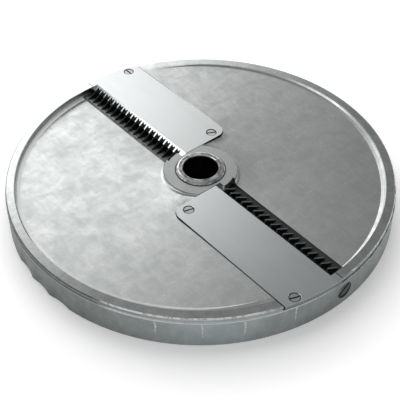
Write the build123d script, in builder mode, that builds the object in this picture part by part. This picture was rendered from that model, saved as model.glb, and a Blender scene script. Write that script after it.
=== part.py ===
"""Julienne disc for a vegetable cutter.

A cast aluminium disc carries two steel slicing blades, half a turn apart. In front of each blade is a
slot with a comb of upright knives. Food rides down the ramp to the slot, the knives slit it, and the
blade takes off the slice as sticks, which fall through the slot. Millimetres, +Z up along the bore,
with z = 0 at the foot of the rim. Slot 1 points along +X and slot 2 along -X.
"""
import os
from math import asin, degrees, radians, sqrt, tan

from build123d import *

os.makedirs("parts", exist_ok=True)

# Disc
rim_radius = 102.5
rim_height = 18.3
band_height = 2.5
band_step = 0.4
ring_width = 4.8
web_depth = 8.3
edge_chamfer = 0.4
foot_chamfer = 2.0

# Ramps
ramp_drop = 4.0
ramp_flush_angle = 157.0
cove_width = 2.4
cove_height = 1.3
cove_bend = 0.35

# Hub
collar_radius = 19.7
collar_cove_width = 1.5
boss_radius = 18.1
boss_foot = 2.0
bush_radius = 13.3
bore_radius = 9.5
bush_rise = 1.5
bush_shoulder = 1.2
bush_shoulder_ease = 0.4
bore_chamfer = 0.4
bush_groove = 0.3
drive_slot_width = 6.0
drive_slot_depth = 5.0
drive_slot_reach = 16.0

# Slot
slot_far_side = 8.8
ledge_front = 3.6
chute_run = 5.5

# Ribs under the web
rib_angles = (60.0, 120.0)
rib_thickness = 4.0
rib_depth = 4.0

# Finger grips in the wall, square to the slots
grip_count = 3
grip_pitch_angle = 8.2
grip_radius = 30.0
grip_depth = 1.0
grip_height = 15.0

# Slicing blades
blade_thickness = 2.5
blade_inner_gap = 1.7
blade_back = 31.9
blade_front = 0.5
blade_bevel = 2.95
blade_land = 0.15
blade_corner = 6.0
blade_gap = 0.35
blade_end_gap = 0.1
ring_end_gap = 0.35

# Blade screws
blade_screw_inner_end = 4.8
blade_screw_outer_end = 6.5
blade_screw_across = 24.5
blade_screw_head = 2.75
blade_screw_sink = 0.3
blade_screw_shank = 1.5
blade_screw_length = 9.5
blade_screw_slot = 0.8
blade_screw_slot_depth = 0.8
blade_screw_boss = 4.5
blade_screw_depth = 10.3
screw_fit = 0.05
blade_screw_turns = {(1, "inner"): 72.0, (1, "outer"): 69.0, (2, "inner"): 60.0, (2, "outer"): -1.0}

# Combs
bar_clearance = 0.1
bar_front = 0.6
bar_front_drop = 6.0
bar_shelf = 6.4
bar_below_ramp = 0.3
bar_below_screw = 5.1
bar_tenon_radius = 2.5
bar_tenon_length = 3.0
knife_count = 18
first_knife_gap = 2.2
last_knife_gap = 3.3
knife_thickness = 0.8
knife_tip = 0.8
knife_tip_rise = 0.85
knife_heel_gap = 0.3
knife_slope = 31.0
knife_back = 6.9
knife_land = 0.2
knife_side_fit = 0.01
nose_clearance = 0.2

# Comb screws
comb_screw_across = 3.0
comb_screw_drop = 9.7
comb_screw_head = 4.5
comb_screw_shank = 2.5
comb_screw_recess = 0.6
comb_screw_into_bar = 8.0
comb_screw_slot = 1.2
comb_screw_slot_depth = 1.3
comb_screw_turn = 39.0
root_clearance = 0.25

# Sizes that follow from the ones above
band_radius = rim_radius - band_step
ring_inner_radius = band_radius - ring_width
ramp_low = rim_height - ramp_drop
web_underside = rim_height - web_depth
rib_foot = web_underside - rib_depth
slot_edge_angle = degrees(asin(slot_far_side / ring_inner_radius))
blade_inner_end = bush_radius + blade_inner_gap
blade_end_radius = rim_radius - blade_end_gap
blade_seat = rim_height - blade_thickness
seat_front = blade_front + ring_end_gap
blade_screw_inner = blade_inner_end + blade_screw_inner_end
blade_screw_outer = blade_end_radius - blade_screw_outer_end
screw_places = (blade_screw_inner, blade_screw_outer)
blade_screw_foot = rim_height - blade_screw_depth
comb_screw_height = rim_height - comb_screw_drop
knife_floor = comb_screw_height + comb_screw_shank + root_clearance
bar_foot = comb_screw_height - bar_below_screw
bar_front_height = rim_height - bar_front_drop
bar_top = ramp_low - bar_below_ramp
bar_back = slot_far_side - bar_clearance
bar_inner_end = boss_radius + bar_clearance
bar_outer_end = sqrt(ring_inner_radius**2 - bar_back**2) - bar_clearance
first_knife = bar_inner_end + first_knife_gap
knife_pitch = (bar_outer_end - last_knife_gap - first_knife) / (knife_count - 1)
over = 2.0

half_turns = {1: 0.0, 2: 180.0}


def slot_plane(turn: float, height: float) -> Plane:
    """Level plane whose x runs outward along a slot and whose y points to the ramp side of it."""
    return Plane.XY.rotated((0, 0, turn)).offset(height)


def cross_plane(turn: float, outward: float) -> Plane:
    """Upright plane square to a slot. Its x points to the ramp side of the slot and its y up."""
    out = Vector(1, 0, 0).rotate(Axis.Z, turn)
    across = Vector(0, 1, 0).rotate(Axis.Z, turn)
    return Plane(origin=out * outward, x_dir=across, z_dir=out)


def radial_plane(angle: float) -> Plane:
    """Upright plane through the axis. Its x points outward at the angle and its y up."""
    out = Vector(1, 0, 0).rotate(Axis.Z, angle)
    back = Vector(0, -1, 0).rotate(Axis.Z, angle)
    return Plane(origin=(0, 0, 0), x_dir=out, z_dir=back)


def screw_plane(index: int, place: str, height: float) -> Plane:
    """Level plane over one of a blade's screws, turned to the screw's driver slot."""
    outward = blade_screw_inner if place == "inner" else blade_screw_outer
    flat = slot_plane(half_turns[index], height)
    origin = flat.from_local_coords(Vector(outward, -blade_screw_across, 0))
    return Plane(origin=origin, z_dir=(0, 0, 1)).rotated((0, 0, blade_screw_turns[(index, place)]))


def comb_screw_plane(turn: float) -> Plane:
    """Plane on a comb screw's head, facing outward, turned to its driver slot."""
    flat = cross_plane(turn, rim_radius - comb_screw_recess)
    origin = flat.from_local_coords(Vector(comb_screw_across, comb_screw_height, 0))
    slot_dir = flat.x_dir.rotate(Axis((0, 0, 0), flat.z_dir), comb_screw_turn)
    return Plane(origin=origin, x_dir=slot_dir, z_dir=flat.z_dir)


def turned_screw(plane: Plane, head: float, shank: float, length: float, above: float) -> Part:
    """Countersunk screw without its driver slot, or with a height above its head, the hole for it."""
    with BuildPart() as screw:
        with BuildSketch(Plane(origin=plane.origin, x_dir=plane.x_dir, z_dir=-plane.y_dir)):
            with BuildLine():
                Polyline((0, 0), (head, 0), (shank, shank - head), (shank, -length), (0, -length), close=True)
            make_face()
        revolve(axis=Axis(plane.origin, plane.z_dir))
        if above:
            with BuildSketch(plane):
                Circle(head)
            extrude(amount=above)
    return screw.part


def blade_outline(turn: float, clearance: float, end_radius: float, front: float) -> Sketch:
    """Outline of a slicing blade, grown by a clearance at its back, its inner end and their corner."""
    inner = blade_inner_end - clearance
    back = -blade_back - clearance
    with BuildSketch(slot_plane(0, blade_seat)) as outline:
        with BuildLine():
            Polyline((end_radius, front), (end_radius, back), (inner, back), (inner, front), close=True)
        make_face()
        corner = outline.vertices().sort_by(Axis((0, 0, 0), (1, 1, 0)))[0]
        fillet(corner, radius=blade_corner + clearance)
        Circle(end_radius, mode=Mode.INTERSECT)
    return outline.sketch.rotate(Axis.Z, turn)


def ramp_space(turn: float) -> Part:
    """Space above a ramp, from the collar to the ring, with a cove at each foot, along a helix."""
    rise_angle = ramp_flush_angle - slot_edge_angle
    floor = ramp_low - ramp_drop * slot_edge_angle / rise_angle
    top = rim_height + ramp_drop
    bend = floor + cove_bend * cove_height
    mean_radius = (collar_radius + ring_inner_radius) / 2
    with BuildPart() as space:
        with BuildLine(slot_plane(turn, floor)):
            Helix(360 * ramp_drop / rise_angle, ramp_drop * ramp_flush_angle / rise_angle, mean_radius)
        with BuildSketch(radial_plane(turn)):
            with BuildLine():
                Polyline((collar_radius, top), (collar_radius, floor + cove_height),
                         (collar_radius + cove_bend * collar_cove_width, bend),
                         (collar_radius + collar_cove_width, floor), (ring_inner_radius - cove_width, floor),
                         (ring_inner_radius - cove_bend * cove_width, bend),
                         (ring_inner_radius, floor + cove_height), (ring_inner_radius, top), close=True)
            make_face()
        sweep(is_frenet=True)
    return space.part


def slot_space(turn: float) -> Part:
    """Space of a slot, from the hub boss to the ring, with the chute that opens below the blade."""
    with BuildPart() as space:
        with BuildSketch(cross_plane(turn, 0)):
            with BuildLine():
                Polyline((slot_far_side, rim_height + over), (-ledge_front, rim_height + over),
                         (-ledge_front, blade_seat), (-ledge_front - chute_run, web_underside),
                         (-ledge_front - chute_run, -over), (slot_far_side, -over), close=True)
            make_face()
        extrude(amount=rim_radius)
        with BuildSketch(Plane.XY.offset(-over)):
            Circle(ring_inner_radius)
            Circle(boss_radius, mode=Mode.SUBTRACT)
        extrude(amount=rim_height + 2 * over, mode=Mode.INTERSECT)
    return space.part


def grip_space(angle: float) -> Part:
    """Round flute of one finger grip, leaning outward so that it fades out up the wall."""
    out = Vector(1, 0, 0).rotate(Axis.Z, angle)
    leaning = out * grip_depth + Vector(0, 0, grip_height)
    with BuildPart() as space:
        with BuildSketch(Plane(origin=out * (rim_radius + grip_radius - grip_depth), z_dir=leaning)):
            Circle(grip_radius)
        extrude(amount=grip_height + over, both=True)
    return space.part


blade_places = [(index, place) for index in half_turns for place in ("inner", "outer")]
blade_holes = {key: turned_screw(screw_plane(*key, rim_height), blade_screw_head + blade_screw_sink,
                                 blade_screw_shank + screw_fit, blade_screw_depth + over, over)
               for key in blade_places}
comb_holes = [turned_screw(comb_screw_plane(turn), comb_screw_head, comb_screw_shank + screw_fit,
                           rim_radius - ring_inner_radius + over, over) for turn in half_turns.values()]
seats = [blade_outline(turn, blade_gap, rim_radius + over, seat_front) for turn in half_turns.values()]
ramps = [ramp_space(turn) for turn in half_turns.values()]
slots = [slot_space(turn) for turn in half_turns.values()]
grip_middle = (grip_count - 1) / 2
grips = [grip_space(side + grip_pitch_angle * (number - grip_middle))
         for side in (90, 270) for number in range(grip_count)]

# Aluminium disc
with BuildPart() as disc_body:
    with BuildSketch(Plane.XZ):
        with BuildLine():
            Polyline((0, boss_foot), (boss_radius, boss_foot), (boss_radius, web_underside),
                     (ring_inner_radius, web_underside), (ring_inner_radius, 0), (rim_radius, 0),
                     (rim_radius, rim_height - band_height), (band_radius, rim_height - band_height),
                     (band_radius, rim_height), (0, rim_height), close=True)
        make_face()
    revolve(axis=Axis.Z)
    circles = disc_body.edges().filter_by(GeomType.CIRCLE)
    chamfer(circles.filter_by_position(Axis.Z, web_underside, web_underside), length=foot_chamfer)
    chamfer(circles.filter_by_position(Axis.Z, rim_height, rim_height), length=edge_chamfer)
    chamfer(circles.filter_by_position(Axis.Z, 0, boss_foot), length=edge_chamfer)
    for turn in half_turns.values():
        for angle in rib_angles:
            with BuildSketch(slot_plane(turn + angle, rib_foot)):
                with Locations(((boss_radius + ring_inner_radius) / 2, 0)):
                    Rectangle(ring_inner_radius - boss_radius + over, rib_thickness)
            extrude(amount=web_underside - rib_foot + over)
        with BuildSketch(slot_plane(turn, blade_screw_foot)):
            with Locations([(outward, -blade_screw_across) for outward in screw_places]):
                Circle(blade_screw_boss)
            Circle(ring_inner_radius + over, mode=Mode.INTERSECT)
        extrude(amount=web_underside - blade_screw_foot + over)
    add([*ramps, *slots, *grips], mode=Mode.SUBTRACT)
    add(seats)
    extrude(amount=blade_thickness + over, mode=Mode.SUBTRACT)
    add([*blade_holes.values(), *comb_holes], mode=Mode.SUBTRACT)
    for turn in half_turns.values():
        with BuildSketch(cross_plane(turn, boss_radius)):
            with Locations((comb_screw_across, comb_screw_height)):
                Circle(bar_tenon_radius)
        extrude(amount=-bar_tenon_length, mode=Mode.SUBTRACT)
    with BuildSketch(Plane.XY):
        Circle(bush_radius)
    extrude(amount=rim_height, mode=Mode.SUBTRACT)
    circles = disc_body.edges().filter_by(GeomType.CIRCLE)
    top_circles = circles.filter_by_position(Axis.Z, rim_height, rim_height)
    chamfer(top_circles.sort_by(SortBy.RADIUS)[0], length=bush_groove)
    with BuildSketch(Plane.XY.offset(boss_foot)):
        Rectangle(drive_slot_width, 2 * drive_slot_reach)
    extrude(amount=drive_slot_depth, mode=Mode.SUBTRACT)
disc_body.part.label = "disc_body"
export_step(disc_body.part, "parts/disc_body.step")

# Steel bush in the hub, slotted at its foot for the drive pin
with BuildPart() as hub_bush:
    with BuildSketch(Plane.XY.offset(boss_foot)):
        Circle(bush_radius)
        Circle(bore_radius, mode=Mode.SUBTRACT)
    extrude(amount=rim_height + bush_rise - boss_foot)
    rims = hub_bush.edges().group_by(Axis.Z)[-1].sort_by(SortBy.RADIUS)
    chamfer(rims[0], length=bore_chamfer)
    chamfer(rims[-1], length=bush_shoulder)
    shoulder = hub_bush.faces().filter_by(GeomType.CONE).sort_by(SortBy.AREA)[-1]
    chamfer(shoulder.edges().filter_by(GeomType.CIRCLE), length=bush_shoulder_ease)
    with BuildSketch(Plane.XY.offset(boss_foot)):
        Rectangle(drive_slot_width, 2 * drive_slot_reach)
    extrude(amount=drive_slot_depth, mode=Mode.SUBTRACT)
hub_bush.part.label = "hub_bush"
export_step(hub_bush.part, "parts/hub_bush.step")

# Slicing blades, ground to an edge on their upper side and countersunk for two screws
head_height = rim_height - blade_screw_sink
blade_screws = {key: turned_screw(screw_plane(*key, head_height), blade_screw_head, blade_screw_shank,
                                  blade_screw_length, 0) for key in blade_places}
for index, turn in half_turns.items():
    outline = blade_outline(turn, 0, blade_end_radius, blade_front)
    with BuildPart() as slicing_blade:
        add(outline)
        extrude(amount=blade_thickness)
        with BuildSketch(cross_plane(turn, 0)):
            with BuildLine():
                Polyline((blade_front - blade_bevel, rim_height), (blade_front, blade_seat + blade_land),
                         (over, blade_seat + blade_land), (over, rim_height), close=True)
            make_face()
        extrude(amount=ring_inner_radius, mode=Mode.SUBTRACT)
        add([blade_holes[index, place] for place in ("inner", "outer")], mode=Mode.SUBTRACT)
    slicing_blade.part.label = f"slicing_blade_{index}"
    export_step(slicing_blade.part, f"parts/slicing_blade_{index}.step")

# Screws that hold the blades
for index, place in blade_places:
    with BuildPart() as blade_screw:
        add(blade_screws[index, place])
        with BuildSketch(screw_plane(index, place, head_height)):
            Rectangle(2 * blade_screw_head + over, blade_screw_slot)
        extrude(amount=-blade_screw_slot_depth, mode=Mode.SUBTRACT)
    blade_screw.part.label = f"blade_screw_{index}_{place}"
    export_step(blade_screw.part, f"parts/blade_screw_{index}_{place}.step")

# Comb bars under the ramp side of each slot, with a saw cut for every knife
knife_places = [first_knife + number * knife_pitch for number in range(knife_count)]
for index, turn in half_turns.items():
    with BuildPart() as comb_bar:
        with BuildSketch(cross_plane(turn, bar_inner_end)):
            with BuildLine():
                Polyline((-bar_front, bar_foot), (bar_back, bar_foot), (bar_back, bar_top),
                         (bar_shelf, bar_top), (-bar_front, bar_front_height), close=True)
            make_face()
        extrude(amount=bar_outer_end - bar_inner_end)
        with BuildSketch(slot_plane(turn, knife_floor)):
            with Locations([(outward, (knife_back - bar_front - over) / 2) for outward in knife_places]):
                Rectangle(knife_thickness + 2 * knife_side_fit, knife_back + bar_front + over)
        extrude(amount=rim_height, mode=Mode.SUBTRACT)
        with BuildSketch(cross_plane(turn, bar_inner_end)):
            with Locations((comb_screw_across, comb_screw_height)):
                Circle(bar_tenon_radius)
        extrude(amount=boss_radius - bar_tenon_length - bar_inner_end)
        with BuildSketch(cross_plane(turn, bar_outer_end)):
            with Locations((comb_screw_across, comb_screw_height)):
                Circle(comb_screw_shank + screw_fit)
        extrude(amount=-comb_screw_into_bar, mode=Mode.SUBTRACT)
    comb_bar.part.label = f"comb_bar_{index}"
    export_step(comb_bar.part, f"parts/comb_bar_{index}.step")

# Julienne knives, upright in the bar, numbered from the hub outward
tip_top = rim_height + knife_tip_rise
back_top = tip_top - (knife_tip + knife_back) * tan(radians(knife_slope))
knife_heel = blade_front + knife_heel_gap
bevel_rise = (blade_thickness - blade_land) / blade_bevel
nose_top = rim_height - (blade_bevel - blade_front - knife_tip) * bevel_rise + nose_clearance
nose_foot = nose_top - (knife_tip + knife_heel) * bevel_rise
for index, turn in half_turns.items():
    for number, outward in enumerate(knife_places, start=1):
        with BuildPart() as julienne_knife:
            with BuildSketch(cross_plane(turn, outward)):
                with BuildLine():
                    Polyline((-knife_tip, tip_top), (knife_back, back_top), (knife_back, knife_floor),
                             (knife_heel, knife_floor), (knife_heel, nose_foot), (-knife_tip, nose_top),
                             close=True)
                make_face()
            extrude(amount=knife_thickness / 2, both=True)
            slope = julienne_knife.faces().filter_by(lambda face: face.normal_at().Z > 0.5)[0]
            long_edges = slope.edges().sort_by(SortBy.LENGTH)[-2:]
            chamfer(long_edges, length=(knife_thickness - knife_land) / 2)
        julienne_knife.part.label = f"julienne_knife_{index}_{number:02d}"
        export_step(julienne_knife.part, f"parts/julienne_knife_{index}_{number:02d}.step")

# Screws through the rim into the bars
for index, turn in half_turns.items():
    head_plane = comb_screw_plane(turn)
    length = rim_radius - comb_screw_recess - bar_outer_end + comb_screw_into_bar
    blank = turned_screw(head_plane, comb_screw_head, comb_screw_shank, length, 0)
    with BuildPart() as comb_screw:
        add(blank)
        with BuildSketch(head_plane):
            Rectangle(2 * comb_screw_head + over, comb_screw_slot)
        extrude(amount=-comb_screw_slot_depth, mode=Mode.SUBTRACT)
    comb_screw.part.label = f"comb_screw_{index}"
    export_step(comb_screw.part, f"parts/comb_screw_{index}.step")
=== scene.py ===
"""Look of a julienne cutting disc: its finishes, the table it lies on, the light and the camera.

Every Blender length is in metres in the disc's own frame: +Z up the bore, the first slot along +X and
the foot of the rim at z = 0. Sizes of the object are written in millimetres and turned to metres by MM.
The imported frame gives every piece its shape. This file gives each one its finish, which reads the
Object coordinates, so that a mark stays where it is on the metal.
"""

import logging
import math
from dataclasses import dataclass
from enum import Enum
from functools import reduce

import bpy
import numpy as np
from bpy.types import Material, Node, NodeOutputs, NodeTree, Object
from mathutils import Matrix, Vector


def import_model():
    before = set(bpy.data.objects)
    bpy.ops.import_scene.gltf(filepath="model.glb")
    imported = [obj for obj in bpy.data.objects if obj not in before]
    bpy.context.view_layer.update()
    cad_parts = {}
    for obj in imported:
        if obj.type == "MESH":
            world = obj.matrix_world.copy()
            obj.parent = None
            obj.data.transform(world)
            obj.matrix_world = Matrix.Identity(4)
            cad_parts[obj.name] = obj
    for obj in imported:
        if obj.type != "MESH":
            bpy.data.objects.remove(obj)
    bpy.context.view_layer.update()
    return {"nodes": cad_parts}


MM = 0.001
HALF_TURN = 180.0
UNBROKEN = -0.5
ALL_ROUND = (-190.0, 190.0)
FLOAT = "NodeSocketFloat"
VECTOR = "NodeSocketVector"
WHITE = (1.0, 1.0, 1.0)
LOG = logging.getLogger("julienne_disc")

Socket = bpy.types.NodeSocket
Value = float | Socket
Span = tuple[float, float]
Trio = tuple[float, float, float]
Colour = Trio


class Wave(Enum):
    """Ways in which a mask rises between two values."""

    STRAIGHT = "LINEAR"
    SMOOTH = "SMOOTHSTEP"


class Side(Enum):
    """The two slots of the disc, each with the turn in degrees that carries slot 1 onto it."""

    FIRST = (1, 0.0)
    SECOND = (2, HALF_TURN)

    @property
    def index(self) -> int:
        """Number of the slot, as the names of its pieces have it."""
        return self.value[0]

    @property
    def turn(self) -> float:
        """Turn of the slot about the bore, in radians."""
        return math.radians(self.value[1])


class Graph:
    """Places and joins the nodes of one shader tree.

    The Mix node keeps its factor, first and second sockets by number, apart for values and colours.
    """

    value_sockets = (0, 2, 3)
    colour_sockets = (0, 6, 7)
    colour_answer = 2

    def __init__(self, tree: NodeTree) -> None:
        """Starts on an empty tree.

        Args:
            tree: node tree of a material, a world or a group.
        """
        self.tree = tree

    def place(self, kind: str, **settings: object) -> Node:
        """Adds one node.

        Args:
            kind: Blender's name of the node.
            settings: attributes of the node, by name.

        Returns:
            The new node.
        """
        node = self.tree.nodes.new(kind)
        for name, value in settings.items():
            setattr(node, name, value)
        return node

    def feed(self, socket: Socket, value: Value | Colour | Vector) -> None:
        """Joins a socket to another, or writes a plain value in it.

        Args:
            socket: input of a node.
            value: output of another node, or a plain value.
        """
        if isinstance(value, Socket):
            self.tree.links.new(value, socket)
        elif isinstance(value, tuple) and socket.type == "RGBA":
            socket.default_value = (*value[:3], 1.0)
        else:
            socket.default_value = value

    def sum_up(self, operation: str, *values: Value) -> Socket:
        """Does one sum on numbers.

        Args:
            operation: Blender's name of the sum, such as MULTIPLY.
            values: its operands.

        Returns:
            The socket with the answer.
        """
        node = self.place("ShaderNodeMath", operation=operation)
        for socket, value in zip(node.inputs, values):
            self.feed(socket, value)
        return node.outputs[0]

    def fold(self, operation: str, *values: Value) -> Value:
        """Does one sum on any count of numbers, from the first to the last."""
        return reduce(lambda answer, value: self.sum_up(operation, answer, value), values)

    def times(self, *values: Value) -> Value:
        """Product of several numbers."""
        return self.fold("MULTIPLY", *values)

    def plus(self, *values: Value) -> Value:
        """Sum of several numbers."""
        return self.fold("ADD", *values)

    def minus(self, first: Value, second: Value) -> Socket:
        """First number less the second."""
        return self.sum_up("SUBTRACT", first, second)

    def greatest(self, *values: Value) -> Value:
        """Greatest of several numbers."""
        return self.fold("MAXIMUM", *values)

    def distance(self, first: Value, second: Value) -> Socket:
        """Straight distance from its two parts at right angles."""
        return self.sum_up("SQRT", self.plus(self.times(first, first), self.times(second, second)))

    def rise(self, value: Value, low: Value, high: Value, wave: Wave = Wave.SMOOTH) -> Socket:
        """Mask that is 0 at the low value and 1 at the high one, whichever of them is greater.

        Args:
            value: number to test.
            low: where the mask is 0.
            high: where the mask is 1.
            wave: how it rises between them.

        Returns:
            The mask's socket.
        """
        node = self.place("ShaderNodeMapRange", interpolation_type=wave.value)
        for name, number in (("Value", value), ("From Min", low), ("From Max", high)):
            self.feed(node.inputs[name], number)
        return node.outputs["Result"]

    def window(self, value: Value, low: float, high: float, soft: float) -> Socket:
        """Mask that is 1 between two values and fades out over a soft length at each."""
        start = self.rise(value, low - soft, low + soft)
        return self.times(start, self.rise(value, high + soft, high - soft))

    def slope(self, length: Value, edge: float, low: float, high: float) -> Socket:
        """Mask that is 0 at the low step from an edge and 1 at the high one, all in millimetres."""
        return self.rise(length, (edge + low) * MM, (edge + high) * MM)

    def beyond(self, length: Value, edge: float, soft: float) -> Socket:
        """Mask that is 1 where a length is past an edge, in millimetres as its softness is."""
        return self.slope(length, edge, -soft, soft)

    def within(self, length: Value, edge: float, soft: float) -> Socket:
        """Mask that is 1 where a length is short of an edge, in millimetres as its softness is."""
        return self.slope(length, edge, soft, -soft)

    def band(self, length: Value, low: float, high: float, soft: float) -> Socket:
        """Mask that is 1 between two edges, in millimetres as their softness is."""
        return self.window(length, low * MM, high * MM, soft * MM)

    def swing(self, angle: Value, start: float, end: float) -> Socket:
        """Mask that is 0 at the start angle and 1 at the end one, both in degrees."""
        return self.rise(angle, math.radians(start), math.radians(end))

    def sector(self, angle: Value, span: Span, fade: float) -> Socket:
        """Mask that is 1 between two angles in degrees, with a fade in radians."""
        return self.window(angle, *(math.radians(end) for end in span), fade)

    def blend_value(self, mask: Value, off: Value, on: Value) -> Socket:
        """Number that goes from off to on with a mask.

        Args:
            mask: share of the second number.
            off: first number.
            on: second number.

        Returns:
            The number's socket.
        """
        node = self.place("ShaderNodeMix", data_type="FLOAT")
        for index, value in zip(self.value_sockets, (mask, off, on)):
            self.feed(node.inputs[index], value)
        return node.outputs[0]

    def blend_colour(self, mask: Value, off: Socket | Colour, on: Socket | Colour) -> Socket:
        """Colour that goes from off to on with a mask.

        Args:
            mask: share of the second colour.
            off: first colour.
            on: second colour.

        Returns:
            The colour's socket.
        """
        node = self.place("ShaderNodeMix", data_type="RGBA")
        for index, value in zip(self.colour_sockets, (mask, off, on)):
            self.feed(node.inputs[index], value)
        return node.outputs[self.colour_answer]

    def noise(self, where: Socket, scale: float, detail: float = 2.0, rough: float = 0.5) -> Socket:
        """Value noise in space, around 0.5.

        Args:
            where: point that the noise is read at.
            scale: waves per metre.
            detail: finer layers on top.
            rough: strength of the finer layers.

        Returns:
            The noise's socket.
        """
        node = self.place("ShaderNodeTexNoise")
        for name, value in (("Vector", where), ("Scale", scale), ("Detail", detail), ("Roughness", rough)):
            self.feed(node.inputs[name], value)
        return node.outputs["Fac"]

    def split(self, vector: Socket) -> NodeOutputs:
        """The three parts of a vector.

        Args:
            vector: the vector's socket.

        Returns:
            The outputs X, Y and Z.
        """
        node = self.place("ShaderNodeSeparateXYZ")
        self.feed(node.inputs[0], vector)
        return node.outputs

    def line_noise(self, along: Value, detail: float) -> Socket:
        """Value noise along one number, for lines that follow it: one wave to each whole number.

        Args:
            along: number that the noise is read at.
            detail: finer layers on top.

        Returns:
            The noise's socket.
        """
        node = self.place("ShaderNodeTexNoise", noise_dimensions="1D")
        for name, value in (("W", along), ("Scale", 1.0), ("Detail", detail)):
            self.feed(node.inputs[name], value)
        return node.outputs["Fac"]

    def stretch(self, where: Socket, scale: Trio, turn: float = 0.0) -> Socket:
        """Point turned about Z and stretched, so that a noise read there becomes streaks.

        Args:
            where: the point.
            scale: stretch along X, Y and Z.
            turn: turn about Z in radians.

        Returns:
            The new point's socket.
        """
        node = self.place("ShaderNodeMapping", vector_type="POINT")
        self.feed(node.inputs["Vector"], where)
        node.inputs["Rotation"].default_value = (0.0, 0.0, turn)
        node.inputs["Scale"].default_value = scale
        return node.outputs[0]


class Shade(Graph):
    """The shading of a new material: its tree, its shader and where the shaded point is on the disc.

    Lengths are in metres, x and y are along and across a slot, and the angle about the bore is in radians.
    """

    def __init__(self, name: str, turn: float = 0.0) -> None:
        """Makes the material and reads the Object coordinates.

        Args:
            name: name of the material.
            turn: turn in radians of the slot that x and y are wanted along, or 0 for the disc's own.
        """
        self.material = bpy.data.materials.new(name)
        self.material.use_nodes = True
        super().__init__(self.material.node_tree)
        self.shader = self.tree.nodes["Principled BSDF"]
        point = self.place("ShaderNodeTexCoord").outputs["Object"]
        self.point = self.stretch(point, (1.0, 1.0, 1.0), -turn) if turn else point
        self.across_x, self.across_y, self.height = self.split(self.point)
        self.radius = self.distance(self.across_x, self.across_y)
        self.angle = self.sum_up("ARCTAN2", self.across_y, self.across_x)

    def give(self, name: str, value: Value | Colour) -> None:
        """Feeds an input of the material's shader."""
        self.feed(self.shader.inputs[name], value)

    def folded(self) -> tuple[Socket, Socket]:
        """Lengths along and across a slot, the same for both slots: |x|, and y with the sign of x."""
        across = self.times(self.across_y, self.sum_up("SIGN", self.across_x))
        return self.sum_up("ABSOLUTE", self.across_x), across


@dataclass(frozen=True)
class Streaks:
    """Noise that is stretched into strokes: its waves per metre along X, Y and Z, and its turn about Z."""

    scale: Trio
    turn: float = 0.0
    detail: float = 3.0
    rough: float = 0.6

    def read(self, graph: Graph, where: Socket) -> Socket:
        """Value of the strokes at a point, around 0.5."""
        return graph.noise(graph.stretch(where, self.scale, self.turn), 1.0, self.detail, self.rough)


class Effect:
    """A shader node group that several finishes share, built the first time that one asks for it."""

    name = ""
    inputs: tuple[tuple[str, str, float], ...] = ()
    outputs: tuple[tuple[str, str], ...] = ()

    def tree(self) -> NodeTree:
        """Finds the group, or makes it with its named sockets.

        Returns:
            The group's tree.
        """
        known = bpy.data.node_groups.get(self.name)
        if known:
            return known
        tree = bpy.data.node_groups.new(self.name, "ShaderNodeTree")
        for name, kind, start in self.inputs:
            socket = tree.interface.new_socket(name=name, in_out="INPUT", socket_type=kind)
            if kind == FLOAT:
                socket.default_value = start
        for name, kind in self.outputs:
            tree.interface.new_socket(name=name, in_out="OUTPUT", socket_type=kind)
        graph = Graph(tree)
        entry = graph.place("NodeGroupInput")
        leave = graph.place("NodeGroupOutput")
        self.fill(graph, entry, leave)
        return tree

    def fill(self, graph: Graph, entry: Node, leave: Node) -> None:
        """Places the nodes between the group's inputs and its outputs."""
        raise NotImplementedError

    def use(self, graph: Graph, **values: Value) -> Node:
        """Places the group in a material.

        Args:
            graph: the material's tree.
            values: input values, with an underscore for each space in a name.

        Returns:
            The group's node.
        """
        node = graph.place("ShaderNodeGroup", node_tree=self.tree())
        for name, value in values.items():
            graph.feed(node.inputs[name.replace("_", " ")], value)
        return node


class CloudyMetal(Effect):
    """Patches and short strokes of light and dark on metal that has been handled and washed for years.

    Cloud is broad noise plus short strokes in two directions, from 0 for dark to 1 for light. Grain is
    the fine sparkle of the surface, and Scuffs are thin scratches in two directions.
    """

    name = "cloudy_metal"
    inputs = (("Point", VECTOR, 0.0), ("Patch Scale", FLOAT, 40.0), ("Streak Share", FLOAT, 0.5))
    outputs = (("Cloud", FLOAT), ("Grain", FLOAT), ("Scuffs", FLOAT))
    patch_settings = (("Detail", 6.0), ("Roughness", 0.66), ("Distortion", 0.6))
    strokes = (Streaks((140.0, 460.0, 200.0), 0.9), Streaks((330.0, 110.0, 150.0), 0.4))
    stroke_mix = 0.5
    cloud_span = (0.34, 0.66)
    grain_noise = (1900.0, 2.0, 0.7)
    scratches = ((Streaks((60.0, 2600.0, 400.0), 0.35, 1.0, 0.5), 0.66, 0.78),
                 (Streaks((60.0, 2600.0, 400.0), 1.9, 1.0, 0.5), 0.68, 0.80))
    gap_scale = 90.0
    gap_span = (0.45, 0.62)

    def fill(self, graph: Graph, entry: Node, leave: Node) -> None:
        """Joins the broad, streaky and fine noises.

        Args:
            graph: the group's tree.
            entry: its input node.
            leave: its output node.
        """
        point = entry.outputs["Point"]
        broad = graph.place("ShaderNodeTexNoise")
        for name, value in (("Vector", point), ("Scale", entry.outputs["Patch Scale"]), *self.patch_settings):
            graph.feed(broad.inputs[name], value)
        lines = graph.blend_value(self.stroke_mix, *(stroke.read(graph, point) for stroke in self.strokes))
        mixed = graph.blend_value(entry.outputs["Streak Share"], broad.outputs["Fac"], lines)
        graph.feed(leave.inputs["Cloud"], graph.rise(mixed, *self.cloud_span))
        graph.feed(leave.inputs["Grain"], graph.noise(point, *self.grain_noise))
        scuffs = graph.greatest(*(graph.rise(scratch.read(graph, point), low, high)
                                  for scratch, low, high in self.scratches))
        gaps = graph.rise(graph.noise(point, self.gap_scale), *self.gap_span)
        graph.feed(leave.inputs["Scuffs"], graph.times(scuffs, gaps))


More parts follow.
